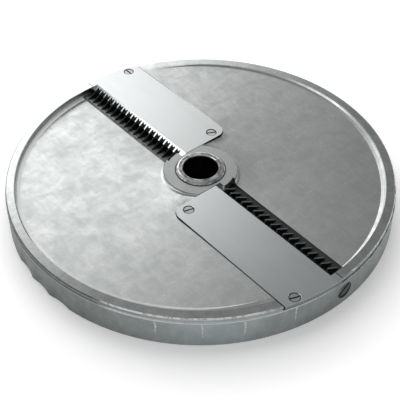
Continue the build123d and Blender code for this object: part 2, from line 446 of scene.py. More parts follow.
class TurnedRings(Effect):
    """Fine circles that a lathe tool leaves: noise along the radius, so that it is constant round it."""

    name = "turned_rings"
    inputs = (("Radius", FLOAT, 0.0), ("Spacing", FLOAT, 0.0004))
    outputs = (("Height", FLOAT),)
    detail = 3.0

    def fill(self, graph: Graph, entry: Node, leave: Node) -> None:
        """Reads noise at the radius divided by the spacing."""
        steps = graph.sum_up("DIVIDE", entry.outputs["Radius"], entry.outputs["Spacing"])
        graph.feed(leave.inputs["Height"], graph.line_noise(steps, self.detail))


class EdgeLineMask(Effect):
    """Line along an edge, for worn edges, painted highlights and painted shade: 1 within a width of
    the edge, broken up by noise.

    The distance is the straight one, in the upright plane through the bore, from the shaded point to
    the edge, which is given by its radius and height.
    """

    name = "edge_line_mask"
    inputs = (("Point", VECTOR, 0.0), ("Radius", FLOAT, 0.0), ("Height", FLOAT, 0.0),
              ("Edge Radius", FLOAT, 0.1), ("Edge Height", FLOAT, 0.0), ("Width", FLOAT, 0.0004),
              ("Gaps", FLOAT, 0.4))
    outputs = (("Mask", FLOAT),)
    full_share = 0.5
    gap_noise = (160.0, 4.0, 0.7)
    gap_soft = 0.2

    def fill(self, graph: Graph, entry: Node, leave: Node) -> None:
        """Measures the distance to the edge and breaks the line up.

        Args:
            graph: the group's tree.
            entry: its input node.
            leave: its output node.
        """
        take = entry.outputs
        distance = graph.distance(graph.minus(take["Radius"], take["Edge Radius"]),
                                  graph.minus(take["Height"], take["Edge Height"]))
        line = graph.rise(distance, take["Width"], graph.times(take["Width"], self.full_share))
        gaps = take["Gaps"]
        noise = graph.noise(take["Point"], *self.gap_noise)
        broken = graph.rise(noise, gaps, graph.plus(gaps, self.gap_soft))
        graph.feed(leave.inputs["Mask"], graph.times(line, broken))


class GroundLines(Effect):
    """Fine straight lines of a surface grinder, along X, with a slow change of tone between them."""

    name = "ground_lines"
    inputs = (("Point", VECTOR, 0.0),)
    outputs = (("Height", FLOAT), ("Tone", FLOAT))
    strokes = {"Height": Streaks((40.0, 5200.0, 900.0)), "Tone": Streaks((22.0, 60.0, 30.0), rough=0.5)}

    def fill(self, graph: Graph, entry: Node, leave: Node) -> None:
        """Reads noises that are stretched along X."""
        for name, stroke in self.strokes.items():
            graph.feed(leave.inputs[name], stroke.read(graph, entry.outputs["Point"]))


@dataclass(frozen=True)
class EdgeLine:
    """A line along a round edge of the disc.

    The edge's radius and height and the line's width are in millimetres. Gaps say how much of the line
    is missing, the span is the two angles in degrees that it runs between, with a fade in radians, and
    strength is how much of it is seen.
    """

    radius: float
    height: float
    width: float
    gaps: float = UNBROKEN
    span: Span = ALL_ROUND
    strength: float = 1.0
    fade: float = 0.06

    def mask(self, shade: Shade) -> Socket:
        """1 on the line, broken up by noise.

        Args:
            shade: the material's shading.

        Returns:
            The mask's socket.
        """
        line = EdgeLineMask().use(shade, Point=shade.point, Radius=shade.radius, Height=shade.height,
                              Edge_Radius=self.radius * MM, Edge_Height=self.height * MM,
                              Width=self.width * MM, Gaps=self.gaps).outputs["Mask"]
        span = shade.sector(shade.angle, self.span, self.fade)
        return shade.times(line, span, self.strength)


@dataclass(frozen=True)
class Runs:
    """Thin pale runs down the wall: wavy, and widest at the top.

    Heights are in millimetres and the places round the disc in degrees. Widths, the middle where a run
    is full, and the sway are in radians about the bore. The shares are how much is seen between the
    grains and on them.
    """

    angles: tuple[float, ...] = (-51.8, -39.7, -28.8, -14.8)
    foot: float = 6.0
    taper_foot: float = 7.0
    top: float = 15.0
    soft: float = 1.5
    narrow: float = 0.003
    wide: float = 0.008
    middle: float = 0.001
    sway: float = 0.014
    sway_scale: float = 300.0
    grain_noise: Trio = (700.0, 3.0, 0.7)
    grain_span: Span = (0.42, 0.6)
    shares: Span = (0.25, 0.8)

    def mask(self, shade: Shade) -> Socket:
        """1 on the runs.

        Args:
            shade: the material's shading.

        Returns:
            The mask's socket.
        """
        wobble = shade.times(shade.minus(shade.noise(shade.point, self.sway_scale), 0.5), self.sway)
        taper = shade.rise(shade.height, self.taper_foot * MM, self.top * MM)
        width = shade.blend_value(taper, self.narrow, self.wide)
        masks = []
        for angle in self.angles:
            away = shade.plus(shade.minus(shade.angle, math.radians(angle)), wobble)
            masks.append(shade.rise(shade.sum_up("ABSOLUTE", away), width, self.middle))
        tall = shade.band(shade.height, self.foot, self.top, self.soft)
        grain = shade.rise(shade.noise(shade.point, *self.grain_noise), *self.grain_span)
        return shade.times(shade.greatest(*masks), tall, shade.blend_value(grain, *self.shares))


@dataclass(frozen=True)
class Metal:
    """What every metal finish here has: two tones, a shine and a small relief.

    The relief is in metres. Patch scale and streak share are those of the clouds on it. The roughness
    is a step greater where the clouds are dark and a step less where they are light.
    """

    name: str
    dark: Colour
    light: Colour
    roughness: float
    relief: float
    turn: float = 0.0
    patch_scale: float = 260.0
    streak_share: float = 0.35
    dull_step: float = 0.08
    shine_step: float = 0.04

    def material(self) -> Material:
        """Makes the material: bare metal first, then what the finish paints on it.

        Returns:
            The finished material.
        """
        shade = Shade(self.name, self.turn)
        shade.give("Metallic", 1.0)
        self.paint(shade)
        shade.material.diffuse_color = (*self.light, 1.0)
        return shade.material

    def paint(self, shade: Shade) -> None:
        """Feeds the shader's colour, roughness and normal."""
        raise NotImplementedError

    def emboss(self, shade: Shade, height: Socket) -> None:
        """Turns a height from 0 to 1 into the shader's normal.

        Args:
            shade: the material's shading.
            height: relief, where 1 stands proud by the finish's relief in metres.
        """
        bump = shade.place("ShaderNodeBump")
        bump.inputs["Distance"].default_value = self.relief
        shade.feed(bump.inputs["Height"], height)
        shade.give("Normal", bump.outputs[0])

    def clouds(self, shade: Shade) -> NodeOutputs:
        """Outputs of the cloudy metal, read with the finish's own patches and streaks."""
        return CloudyMetal().use(shade, Point=shade.point, Patch_Scale=self.patch_scale,
                                 Streak_Share=self.streak_share).outputs

    def cloudy_roughness(self, shade: Shade, cloud: Socket) -> Socket:
        """Roughness that goes from the dull step above the finish's own to the shine step below it."""
        return shade.blend_value(cloud, self.roughness + self.dull_step, self.roughness - self.shine_step)

    def lines_mask(self, shade: Shade, lines: tuple[EdgeLine, ...]) -> Socket:
        """1 on any of several edge lines."""
        return shade.greatest(*(line.mask(shade) for line in lines))


@dataclass(frozen=True)
class CastAluminium(Metal):
    """Cast and turned aluminium of the disc, cloudy on top and dull on the wall, worn pale at its edges,
    with painted highlights and painted shade along its edges and in its hollows.

    Lengths are in millimetres, angles and spans of them in degrees, and fades in radians. A share is
    how much of a tone or a mark is seen.
    """

    patch_scale: float = 95.0
    streak_share: float = 0.45
    dull_step: float = 0.05
    shine_step: float = 0.03
    cloud_relief: float = 0.8
    speckle_span: Span = (0.3, 0.7)
    speckle_share: float = 0.5
    scuff_share: float = 0.15
    wall_tone: Colour = (0.215, 0.24, 0.238)
    wall_dark: Colour = (0.13, 0.145, 0.14)
    wall_turn: Span = (-92.0, -46.0)
    wall_cloud_share: float = 0.15
    wall_roughness: float = 0.5
    wall_top: Span = (-0.45, -0.6)
    wall_inset: Span = (2.0, 3.0)
    sheen_tone: Colour = (0.30, 0.345, 0.35)
    sheen_span: Span = (-50.0, -22.0)
    sheen_fade: float = math.radians(14.0)
    collar_tone: Colour = (0.50, 0.52, 0.515)
    collar_radius: float = 19.7
    edge_tone: Colour = (0.93, 0.94, 0.94)
    edge_metallic: float = 0.1
    painted_shade_tone: Colour = (0.035, 0.037, 0.036)
    painted_shade_share: float = 0.85
    rim_radius: float = 102.5
    rim_height: float = 18.3
    top_depth: float = 0.3
    band_foot: float = 15.8
    web_top: float = 13.5
    web_soft: float = 0.3
    ring_radius: float = 97.3
    ring_slope: float = 4.0
    ring_shine: float = 0.06
    ring_spacing: float = 0.5
    ring_relief: float = 0.3
    ring_end: Span = (0.55, 1.0)
    worn_and_glint_lines: tuple[EdgeLine, ...] = ()
    shade_lines: tuple[EdgeLine, ...] = ()
    runs: Runs = Runs()
    screw_across: float = 3.0
    screw_height: float = 8.6
    recess_radius: float = 4.55
    cove_width: float = 2.4
    cove_fade: float = 0.2
    cove_shade_span: Span = (-64.0, -20.0)
    cove_shade_share: float = 0.28
    cove_highlight_span: Span = (-176.0, -84.0)
    cove_highlight_share: float = 0.85
    blade_end: float = 15.0
    seat_start: float = 21.0
    seat_fade: float = 1.5
    seat_foot: float = 13.95
    seat_line: Span = (-32.6, -32.2)
    seat_soft: float = 0.08
    seat_share: float = 0.8
    shade_halo_inside: float = 5.5
    shade_halo_outside: float = 8.25
    shade_halo_span: Span = (-29.5, -17.7)
    shade_halo_noise: Trio = (260.0, 3.0, 0.6)
    shade_halo_soft: float = 2.5
    shade_halo_share: float = 0.8
    skin: float = 0.75
    hair: float = 0.05
    fine: float = 0.1
    small: float = 0.15
    soft: float = 0.2
    blur: float = 0.25

    def paint(self, shade: Shade) -> None:
        """Mixes the tones of the top and the wall, then the worn edges with painted highlights, the runs
        and the painted shade.

        Args:
            shade: the material's shading.
        """
        cloud = self.clouds(shade)
        wall = self.wall_mask(shade)
        top = shade.beyond(shade.height, self.rim_height - self.top_depth, self.soft)
        ring = shade.times(shade.beyond(shade.radius, self.ring_radius, self.soft), top)
        colour = shade.blend_colour(wall, self.top_colour(shade, cloud, top), self.wall_colour(shade, cloud))
        # Pale mask: painted highlights along lit edges, in a cove and on a seat's back edge, with worn edges
        # and runs.
        bright = self.pale_and_glint_mask(shade)
        colour = shade.blend_colour(bright, colour, self.edge_tone)
        colour = shade.blend_colour(shade.times(cloud["Scuffs"], self.scuff_share), colour, self.edge_tone)
        # Painted shade: darkened edges, recesses, gaps, a cove, the blades' inner ends and a seat's back
        # edge.
        painted_shade = shade.times(self.painted_shade_mask(shade), self.painted_shade_share)
        shade.give("Base Color", shade.blend_colour(painted_shade, colour, self.painted_shade_tone))
        shade.give("Metallic", shade.blend_value(bright, 1.0, self.edge_metallic))
        tops = self.cloudy_roughness(shade, cloud["Cloud"])
        tops = shade.blend_value(ring, tops, self.roughness - self.ring_shine)
        shade.give("Roughness", shade.blend_value(wall, tops, self.wall_roughness))
        self.emboss(shade, self.surface(shade, cloud, ring))

    def top_colour(self, shade: Shade, cloud: NodeOutputs, top: Socket) -> Socket:
        """Tones of the plate, in clouds, and of the speckled collar round the hub.

        Args:
            shade: the material's shading.
            cloud: outputs of the cloudy metal.
            top: mask of what is level with the rim.

        Returns:
            The colour's socket.
        """
        metal = shade.blend_colour(cloud["Cloud"], self.dark, self.light)
        near = shade.within(shade.radius, self.collar_radius, self.fine)
        speckle = shade.times(shade.rise(cloud["Grain"], *self.speckle_span), self.speckle_share)
        collar = shade.blend_colour(speckle, self.collar_tone, self.dark)
        return shade.blend_colour(shade.times(near, top), metal, collar)

    def wall_colour(self, shade: Shade, cloud: NodeOutputs) -> Socket:
        """Tones of the wall: painted shade on one side, a bluish painted sheen in front, faintly cloudy.

        Args:
            shade: the material's shading.
            cloud: outputs of the cloudy metal.

        Returns:
            The colour's socket.
        """
        # Painted shade: the wall turns darker from -46 to -92 degrees round the bore.
        toward = shade.swing(shade.angle, *self.wall_turn)
        side = shade.blend_colour(toward, self.wall_dark, self.wall_tone)
        # Painted sheen: a bluish highlight on the front of the wall.
        sheen = shade.sector(shade.angle, self.sheen_span, self.sheen_fade)
        side = shade.blend_colour(sheen, side, self.sheen_tone)
        return shade.blend_colour(shade.times(cloud["Cloud"], self.wall_cloud_share), side, self.light)

    def surface(self, shade: Shade, cloud: NodeOutputs, ring: Socket) -> Socket:
        """Height of the grain, the ring's turned circles and the clouds, less the ring's fall outwards.

        Args:
            shade: the material's shading.
            cloud: outputs of the cloudy metal.
            ring: mask of the ring's top face.

        Returns:
            The height's socket, in units of the finish's relief.
        """
        rings = TurnedRings().use(shade, Radius=shade.radius, Spacing=self.ring_spacing * MM)
        turned = shade.times(rings.outputs["Height"], self.ring_relief)
        relief = shade.blend_value(ring, cloud["Grain"], turned)
        relief = shade.plus(relief, shade.times(cloud["Cloud"], self.cloud_relief))
        out = shade.minus(shade.radius, (self.ring_radius - self.soft) * MM)
        drop = shade.times(ring, out, math.tan(math.radians(self.ring_slope)) / self.relief)
        return shade.minus(relief, drop)

    def pale_and_glint_mask(self, shade: Shade) -> Socket:
        """1 where the metal is pale: worn edges with painted highlights on their lit spans, runs down the
        wall, and painted highlights in a cove and on a seat's back edge.

        Args:
            shade: the material's shading.

        Returns:
            The mask's socket.
        """
        outside = shade.beyond(shade.radius, self.rim_radius - self.skin, self.blur)
        return shade.greatest(
            self.lines_mask(shade, self.worn_and_glint_lines),
            shade.times(self.runs.mask(shade), outside),
            shade.times(self.cove_mask(shade, self.cove_highlight_span), self.cove_highlight_share),
            shade.times(self.seat_mask(shade, Side.SECOND), self.seat_share))

    def painted_shade_mask(self, shade: Shade) -> Socket:
        """1 where shade is painted: dark lines along edges, recesses, gaps, beside the blades' inner ends,
        in a cove, and on a seat's back edge.

        Args:
            shade: the material's shading.

        Returns:
            The mask's socket.
        """
        return shade.greatest(
            self.lines_mask(shade, self.shade_lines),
            self.recess_mask(shade),
            self.gap_mask(shade),
            self.shade_halo_mask(shade),
            shade.times(self.cove_mask(shade, self.cove_shade_span), self.cove_shade_share),
            shade.times(self.seat_mask(shade, Side.FIRST), self.seat_share))

    def wall_mask(self, shade: Shade) -> Socket:
        """1 on the upright wall below the ring's edge, and under the disc.

        Args:
            shade: the material's shading.

        Returns:
            The mask's socket.
        """
        low = shade.slope(shade.height, self.rim_height, *self.wall_top)
        outside = shade.slope(shade.radius, self.ring_radius, *self.wall_inset)
        under = shade.within(shade.height, self.web_top, self.web_soft)
        return shade.greatest(shade.times(low, outside), under)

    def recess_mask(self, shade: Shade) -> Socket:
        """1 in the two round recesses of the rim that hold the comb screws, where shade is painted.

        The distance is measured in the upright plane square to the slots, and mirrored for slot 2.

        Args:
            shade: the material's shading.

        Returns:
            The mask's socket.
        """
        outward, across = shade.folded()
        away = shade.distance(shade.minus(across, self.screw_across * MM),
                              shade.minus(shade.height, self.screw_height * MM))
        inside = shade.within(away, self.recess_radius, self.fine)
        return shade.times(inside, shade.beyond(outward, self.ring_radius + self.blur, self.blur))

    def gap_mask(self, shade: Shade) -> Socket:
        """1 on the end of the ring that faces the first blade's front corner, where shade is painted in the
        gap.

        Args:
            shade: the material's shading.

        Returns:
            The mask's socket.
        """
        end = shade.band(shade.across_y, *self.ring_end, self.hair)
        outer = shade.beyond(shade.across_x, self.ring_radius + self.fine, self.fine)
        tall = shade.beyond(shade.height, self.band_foot - self.fine, self.fine)
        return shade.times(end, outer, tall)

    def seat_mask(self, shade: Shade, side: Side) -> Socket:
        """1 along the back edge of a blade's seat: painted shade at the first blade, a painted highlight at
        the second.

        Args:
            shade: the material's shading.
            side: slot of the blade, where x and y change sign for the second.

        Returns:
            The mask's socket.
        """
        sign = math.cos(side.turn)
        across, outward = shade.times(shade.across_y, sign), shade.times(shade.across_x, sign)
        back = shade.band(across, *self.seat_line, self.seat_soft)
        past = shade.beyond(outward, self.seat_start, self.seat_fade)
        high = shade.beyond(shade.height, self.seat_foot, self.small)
        inside = shade.within(shade.radius, self.rim_radius - self.small, self.small)
        return shade.times(back, past, high, inside)

    def shade_halo_mask(self, shade: Shade) -> Socket:
        """Soft painted shade on the plate beside the inner end of each blade, mirrored for slot 2.

        Args:
            shade: the material's shading.

        Returns:
            The mask's socket.
        """
        outward, across = shade.folded()
        inside = shade.slope(outward, self.blade_end, -self.shade_halo_inside, 0.0)
        outside = shade.slope(outward, self.blade_end, self.shade_halo_outside, 0.0)
        span = shade.band(across, *self.shade_halo_span, self.shade_halo_soft)
        cloud = shade.rise(shade.noise(shade.point, *self.shade_halo_noise), *self.speckle_span)
        return shade.times(inside, outside, span, cloud, self.shade_halo_share)

    def cove_mask(self, shade: Shade, span: Span) -> Socket:
        """1 in the cove at the foot of the ring's inner wall, between two angles in degrees, for a painted
        highlight on one side and painted shade on another.

        Args:
            shade: the material's shading.
            span: the two angles.

        Returns:
            The mask's socket.
        """
        foot, top = self.ring_radius - self.cove_width, self.ring_radius - self.soft
        cove = shade.band(shade.radius, foot, top, self.small)
        return shade.times(cove, shade.sector(shade.angle, span, self.cove_fade))


@dataclass(frozen=True)
class GroundSteel(Metal):
    """Flat stainless steel off a surface grinder, with a sharper grind on the bevel of its edge.

    Lengths are in millimetres. A share is how much of a tone or a mark is seen.
    """

    bevel_start: float = -2.45
    bevel_shine: float = 0.11
    top: float = 18.3
    end_radius: float = 102.4
    side_tone: Colour = (0.05, 0.052, 0.052)
    end_tone: Colour = (0.20, 0.22, 0.22)
    side_roughness: float = 0.5
    line_share: float = 0.25
    tone_span: Span = (0.35, 0.65)
    scuff_tone: Colour = (0.95, 0.95, 0.95)
    scuff_share: float = 0.15
    tone_step: float = 0.03
    inset: float = 0.1
    soft: float = 0.05

    def paint(self, shade: Shade) -> None:
        """Mixes the two tones along the grinding lines, then the scratches, painted shade on the sides, and
        the end.

        Args:
            shade: the material's shading.
        """
        lines = GroundLines().use(shade, Point=shade.point).outputs
        tone = shade.blend_value(self.line_share, lines["Tone"], lines["Height"])
        colour = shade.blend_colour(shade.rise(tone, *self.tone_span), self.dark, self.light)
        scuffs = shade.times(self.clouds(shade)["Scuffs"], self.scuff_share)
        colour = shade.blend_colour(scuffs, colour, self.scuff_tone)
        bevel = shade.beyond(shade.across_y, self.bevel_start, self.soft)
        below = shade.within(shade.height, self.top - self.inset, self.soft)
        # Painted shade: the blade's faces below its top, off the bevel, are near black.
        sides = shade.times(below, shade.minus(1.0, bevel))
        colour = shade.blend_colour(sides, colour, self.side_tone)
        end = shade.times(shade.beyond(shade.radius, self.end_radius - self.inset, self.soft), below)
        shade.give("Base Color", shade.blend_colour(end, colour, self.end_tone))
        flat = shade.blend_value(lines["Tone"], self.roughness - self.tone_step,
                                 self.roughness + self.tone_step)
        rough = shade.blend_value(bevel, flat, self.bevel_shine)
        rough = shade.blend_value(shade.greatest(end, sides), rough, self.side_roughness)
        shade.give("Roughness", rough)
        self.emboss(shade, lines["Height"])


@dataclass(frozen=True)
class TurnedSteel(Metal):
    """Steel turned on a lathe about the bore, worn pale at its edges, with painted shade in the bore and
    where it meets the disc.

    Lengths are in millimetres. A share is how much of a tone or a mark is seen.
    """

    streak_share: float = 0.3
    dull_step: float = 0.06
    spacing: float = 0.3
    worn_and_glint_lines: tuple[EdgeLine, ...] = ()
    shade_lines: tuple[EdgeLine, ...] = ()
    rubbed_tone: Colour = (0.93, 0.93, 0.92)
    shade_tone: Colour = (0.03, 0.03, 0.03)
    shade_share: float = 0.9
    cloud_share: float = 0.7
    tone_span: Span = (0.25, 0.75)
    bore_radius: float = 9.5
    bore_top: float = 19.4
    bore_fade: Span = (0.0, -1.0)
    lip: Span = (0.3, 0.1)

    def paint(self, shade: Shade) -> None:
        """Mixes the two tones in rings and patches, then the worn edges, and the painted shade in the bore
        and along dark lines.

        Args:
            shade: the material's shading.
        """
        rings = TurnedRings().use(shade, Radius=shade.radius, Spacing=self.spacing * MM).outputs["Height"]
        cloud = self.clouds(shade)["Cloud"]
        tone = shade.rise(shade.blend_value(self.cloud_share, rings, cloud), *self.tone_span)
        colour = shade.blend_colour(tone, self.dark, self.light)
        worn_and_glint_lines = self.lines_mask(shade, self.worn_and_glint_lines)
        colour = shade.blend_colour(worn_and_glint_lines, colour, self.rubbed_tone)
        inside = shade.slope(shade.radius, self.bore_radius, *self.lip)
        low = shade.slope(shade.height, self.bore_top, *self.bore_fade)
        # Painted shade: dark lines and the inside of the bore below its lip.
        dark_shade = shade.greatest(self.lines_mask(shade, self.shade_lines), shade.times(inside, low))
        dark_shade = shade.times(dark_shade, self.shade_share)
        shade.give("Base Color", shade.blend_colour(dark_shade, colour, self.shade_tone))
        shade.give("Roughness", self.cloudy_roughness(shade, cloud))
        self.emboss(shade, rings)


@dataclass(frozen=True)
class HandledSteel(Metal):
    """Small steel pieces, patchy from washing, with fine grain. Lengths are in millimetres."""

    patch_scale: float = 200.0
    face: float = 100.0
    face_edge: Span = (-0.1, -0.25)
    shade_tone: Colour = (0.03, 0.031, 0.03)
    centres: tuple[Span, ...] = ()
    head_radius: float = 2.75
    head_edge: Span = (-0.45, -0.15)

    def paint(self, shade: Shade) -> None:
        """Mixes the two tones in patches, with painted shade round the head and below its face.

        Args:
            shade: the material's shading.
        """
        cloud = self.clouds(shade)
        colour = shade.blend_colour(cloud["Cloud"], self.dark, self.light)
        # Painted shade below the head's face, and round each head's edge.
        deep = shade.slope(self.depth(shade), self.face, *self.face_edge)
        if self.centres:
            deep = shade.greatest(deep, self.head_mask(shade))
        shade.give("Base Color", shade.blend_colour(deep, colour, self.shade_tone))
        shade.give("Roughness", self.cloudy_roughness(shade, cloud["Cloud"]))
        self.emboss(shade, cloud["Grain"])

    def head_mask(self, shade: Shade) -> Socket:
        """1 on the outer edge of each head, by the distance from the nearest screw's middle.

        Args:
            shade: the material's shading.

        Returns:
            The mask's socket.
        """
        nearest = None
        for outward, across in self.centres:
            away = shade.distance(shade.minus(shade.across_x, outward * MM),
                                  shade.minus(shade.across_y, across * MM))
            nearest = away if nearest is None else shade.sum_up("MINIMUM", nearest, away)
        return shade.slope(nearest, self.head_radius, *self.head_edge)

    def depth(self, shade: Shade) -> Socket:
        """Number that falls below the face into the head: the height, for a screw that stands upright."""
        return shade.height


@dataclass(frozen=True)
class RimScrewSteel(HandledSteel):
    """Steel of the screws that lie level in the rim, with painted shade in their recesses."""

    def depth(self, shade: Shade) -> Socket:
        """Distance from the bore along the slot, whichever end of it the screw is at."""
        return shade.sum_up("ABSOLUTE", shade.across_x)


@dataclass(frozen=True)
class KnifeSteel(Metal):
    """Knife steel, with painted shade that makes its flat sides black, and painted light on its sloping edge.
    """

    slope_tone: Colour = (0.2, 0.21, 0.205)
    slope_span: Span = (0.5, 0.7)
    lit_slope_share: float = 0.5

    def paint(self, shade: Shade) -> None:
        """Mixes the patchy sides with the slope, which is where the steel faces up and light is painted.

        Args:
            shade: the material's shading.
        """
        cloud = self.clouds(shade)
        sides = shade.blend_colour(cloud["Cloud"], self.dark, self.light)
        # Painted light: faces that point up get a lighter tone than the black sides.
        facing = shade.split(shade.place("ShaderNodeTexCoord").outputs["Normal"])
        slope = shade.rise(facing["Z"], *self.slope_span)
        lit_slope = shade.times(cloud["Cloud"], self.lit_slope_share)
        lit_slope = shade.blend_colour(lit_slope, self.slope_tone, self.light)
        shade.give("Base Color", shade.blend_colour(slope, sides, lit_slope))
        shade.give("Roughness", self.cloudy_roughness(shade, cloud["Cloud"]))
        self.emboss(shade, cloud["Grain"])


@dataclass(frozen=True)
class SawnShadedBar(Metal):
    """Sawn bar with saw lines along it, with painted light and shade: grey near the ramp and black in front.
    """

    patch_scale: float = 220.0
    streak_share: float = 0.3
    front: float = 0.2
    back: float = 4.4
    saw_lines: Streaks = Streaks((30.0, 2400.0, 900.0), detail=2.0)
    saw_span: Span = (0.3, 0.7)
    cloud_share: float = 0.35
    metallic: float = 0.2
    specular: float = 0.15
    wet_step: float = 0.1

    def paint(self, shade: Shade) -> None:
        """Mixes the painted dark and lit tones across the bar, in fine lines along it.

        Args:
            shade: the material's shading.
        """
        lines = self.saw_lines.read(shade, shade.point)
        tone = shade.blend_value(self.cloud_share, shade.rise(lines, *self.saw_span),
                                 self.clouds(shade)["Cloud"])
        # Painted shade: the bar goes black towards its front, between the knives.
        tone = shade.times(tone, shade.rise(shade.across_y, self.front * MM, self.back * MM))
        shade.give("Base Color", shade.blend_colour(tone, self.dark, self.light))
        shade.give("Metallic", self.metallic)
        shade.give("Specular IOR Level", self.specular)
        rough = shade.blend_value(tone, self.roughness, self.roughness - self.wet_step)
        shade.give("Roughness", rough)
        self.emboss(shade, lines)


@dataclass
class SubAssembly:
    """A group of the disc's pieces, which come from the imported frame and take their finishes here.

    Sizes are in millimetres.
    """

    nodes: dict[str, Object]

    def wear(self, names: list[str], finish: Metal) -> None:
        """Gives CAD nodes one finish.

        Args:
            names: names of the nodes.
            finish: the metal that they are of.
        """
        material = finish.material()
        for name in names:
            slots = self.nodes[name].data.materials
            slots.clear()
            slots.append(material)
            LOG.info("%s wears %s", name, finish.name)

    def dress(self) -> None:
        """Gives every piece of the group its finish."""
        raise NotImplementedError


@dataclass
class Disc(SubAssembly):
    """The cast disc with its ring, its ramps and its wall.

    Front, step, right, left, inner and wall are the two angles in degrees that lines run between.
    """

    rim_radius: float = 102.5
    band_radius: float = 102.1
    ring_radius: float = 97.3
    rim_height: float = 18.3
    band_foot: float = 15.8
    collar_radius: float = 19.7
    front: Span = (-67.0, -18.0)
    step: Span = (-67.0, -4.0)
    right: Span = (2.0, 60.0)
    left: Span = (-160.0, -67.0)
    inner: Span = (-172.0, -98.0)
    wall: Span = (-178.0, -116.0)

    def dress(self) -> None:
        """Finishes the aluminium, with painted highlights along edges where light catches them, and
        painted shade along others.
        """
        rim, band, top = self.rim_radius, self.band_radius, self.rim_height
        # Painted highlights along the band's and rim's edges, each over the span of angles where light
        # catches it.
        worn_and_glint_lines = (EdgeLine(band - 0.15, top - 0.15, 0.6, 0.36, self.front),
                  EdgeLine(rim, self.band_foot, 0.75, 0.25, self.step),
                  EdgeLine(rim, self.band_foot, 0.6, span=self.left, strength=0.3),
                  EdgeLine(rim, self.band_foot, 0.4, 0.40, self.right),
                  EdgeLine(band - 0.1, top - 0.15, 0.4, 0.35, self.right))
        # Painted shade: dark lines along the ring's outer top edge, its inner edge and wall, and the collar's
        # edge.
        shade_lines = (EdgeLine(band - 0.1, top - 0.2, 0.5, span=self.left),
                 EdgeLine(band, top - 0.1, 0.25, 0.5, self.front),
                 EdgeLine(self.ring_radius, top, 0.7, span=self.inner, strength=0.9),
                 EdgeLine(self.ring_radius, top - 1.3, 1.6, span=self.wall, strength=0.5),
                 EdgeLine(self.collar_radius, top - 0.2, 0.4, 0.1))
        self.wear(["disc_body"], CastAluminium(
            "cast_aluminium", (0.60, 0.63, 0.62), (0.80, 0.82, 0.81), 0.29, 0.00002,
            rim_radius=rim, ring_radius=self.ring_radius, rim_height=top, band_foot=self.band_foot,
            collar_radius=self.collar_radius, worn_and_glint_lines=worn_and_glint_lines, shade_lines=shade_lines))


@dataclass
class Hub(SubAssembly):
    """The steel bush in the middle of the disc."""

    bush_radius: float = 13.3
    bore_radius: float = 9.5
    top: float = 19.8
    shoulder: float = 1.2
    lip: float = 0.4
    stand: float = 1.5

    def dress(self) -> None:
        """Finishes the bush, bright on its two upper edges, with painted shade where it meets the disc and
        inside.
        """
        worn_and_glint_lines = (EdgeLine(self.bush_radius - self.shoulder - 0.1, self.top, 0.5, 0.3),
                  EdgeLine(self.bore_radius + self.lip, self.top, 0.35, 0.4))
        # Painted shade where the bush meets the disc.
        shade_lines = (EdgeLine(self.bush_radius, self.top - self.stand, 0.5, 0.1),)
        self.wear(["hub_bush"], TurnedSteel(
            "turned_bush_steel", (0.18, 0.19, 0.18), (0.58, 0.59, 0.58), 0.32, 0.00001, worn_and_glint_lines=worn_and_glint_lines,
            shade_lines=shade_lines, bore_radius=self.bore_radius, bore_top=self.top - self.lip))


@dataclass
class SlicingBlade(SubAssembly):
    """A slicing blade and its two countersunk screws."""

    side: Side
    dark: Colour
    light: Colour
    blade_front: float = 0.5
    bevel_width: float = 2.95
    screw_face: float = 18.0
    screw_centres: tuple[Span, ...] = ((19.8, -24.5), (95.9, -24.5))

    def dress(self) -> None:
        """Finishes the blade along its own length, and the screws that hold it."""
        index = self.side.index
        self.wear([f"slicing_blade_{index}"], GroundSteel(
            f"ground_blade_steel_{index}", self.dark, self.light, 0.2, 0.000002,
            self.side.turn, bevel_start=self.blade_front - self.bevel_width))
        self.wear([f"blade_screw_{index}_inner", f"blade_screw_{index}_outer"], HandledSteel(
            f"blade_screw_steel_{index}", (0.50, 0.52, 0.52), (0.72, 0.74, 0.74), 0.28, 0.00001,
            self.side.turn, face=self.screw_face, centres=self.screw_centres))


@dataclass
class Comb(SubAssembly):
    """A comb of julienne knives with its bar and the screw that holds it."""

    side: Side
    slope_tone: Colour
    bar_tone: Colour
    knife_count: int = 18
    screw_face: float = 101.9

    def dress(self) -> None:
        """Finishes the knives, the bar between them and the screw in the rim."""
        index = self.side.index
        knives = [f"julienne_knife_{index}_{number:02d}" for number in range(1, self.knife_count + 1)]
        self.wear(knives, KnifeSteel(
            f"knife_steel_{index}", (0.03, 0.031, 0.031), (0.10, 0.105, 0.105), 0.34, 0.00001,
            slope_tone=self.slope_tone))
        self.wear([f"comb_bar_{index}"], SawnShadedBar(
            f"bar_metal_{index}", (0.02, 0.021, 0.02), self.bar_tone, 0.6, 0.00002, self.side.turn))
        # Painted shade: the comb screw is near black, as it sits in its recess.
        self.wear([f"comb_screw_{index}"], RimScrewSteel(
            f"comb_screw_steel_{index}", (0.06, 0.066, 0.063), (0.15, 0.16, 0.156), 0.45, 0.00001,
            face=self.screw_face))


@dataclass(frozen=True)
class SoftBox:
    """A soft light of the room: a patch of the sky with blurred edges.

    Bearings are in degrees to the left of straight behind the disc, as the camera sees it. Each edge
    is a pair of angles, where the light starts and where it is full.
    """

    right: Span
    left: Span
    foot: Span
    top: Span
    light: float

    def level(self, graph: Graph, bearing: Socket, up: Socket) -> Socket:
        """Light that the box sends from a direction.

        Args:
            graph: the world's tree.
            bearing: bearing of the ray in radians.
            up: its elevation in radians.

        Returns:
            The light's socket.
        """
        edges = [graph.swing(bearing, *ends) for ends in (self.right, self.left)]
        edges += [graph.swing(up, *ends) for ends in (self.foot, self.top)]
        return graph.times(*edges, self.light)


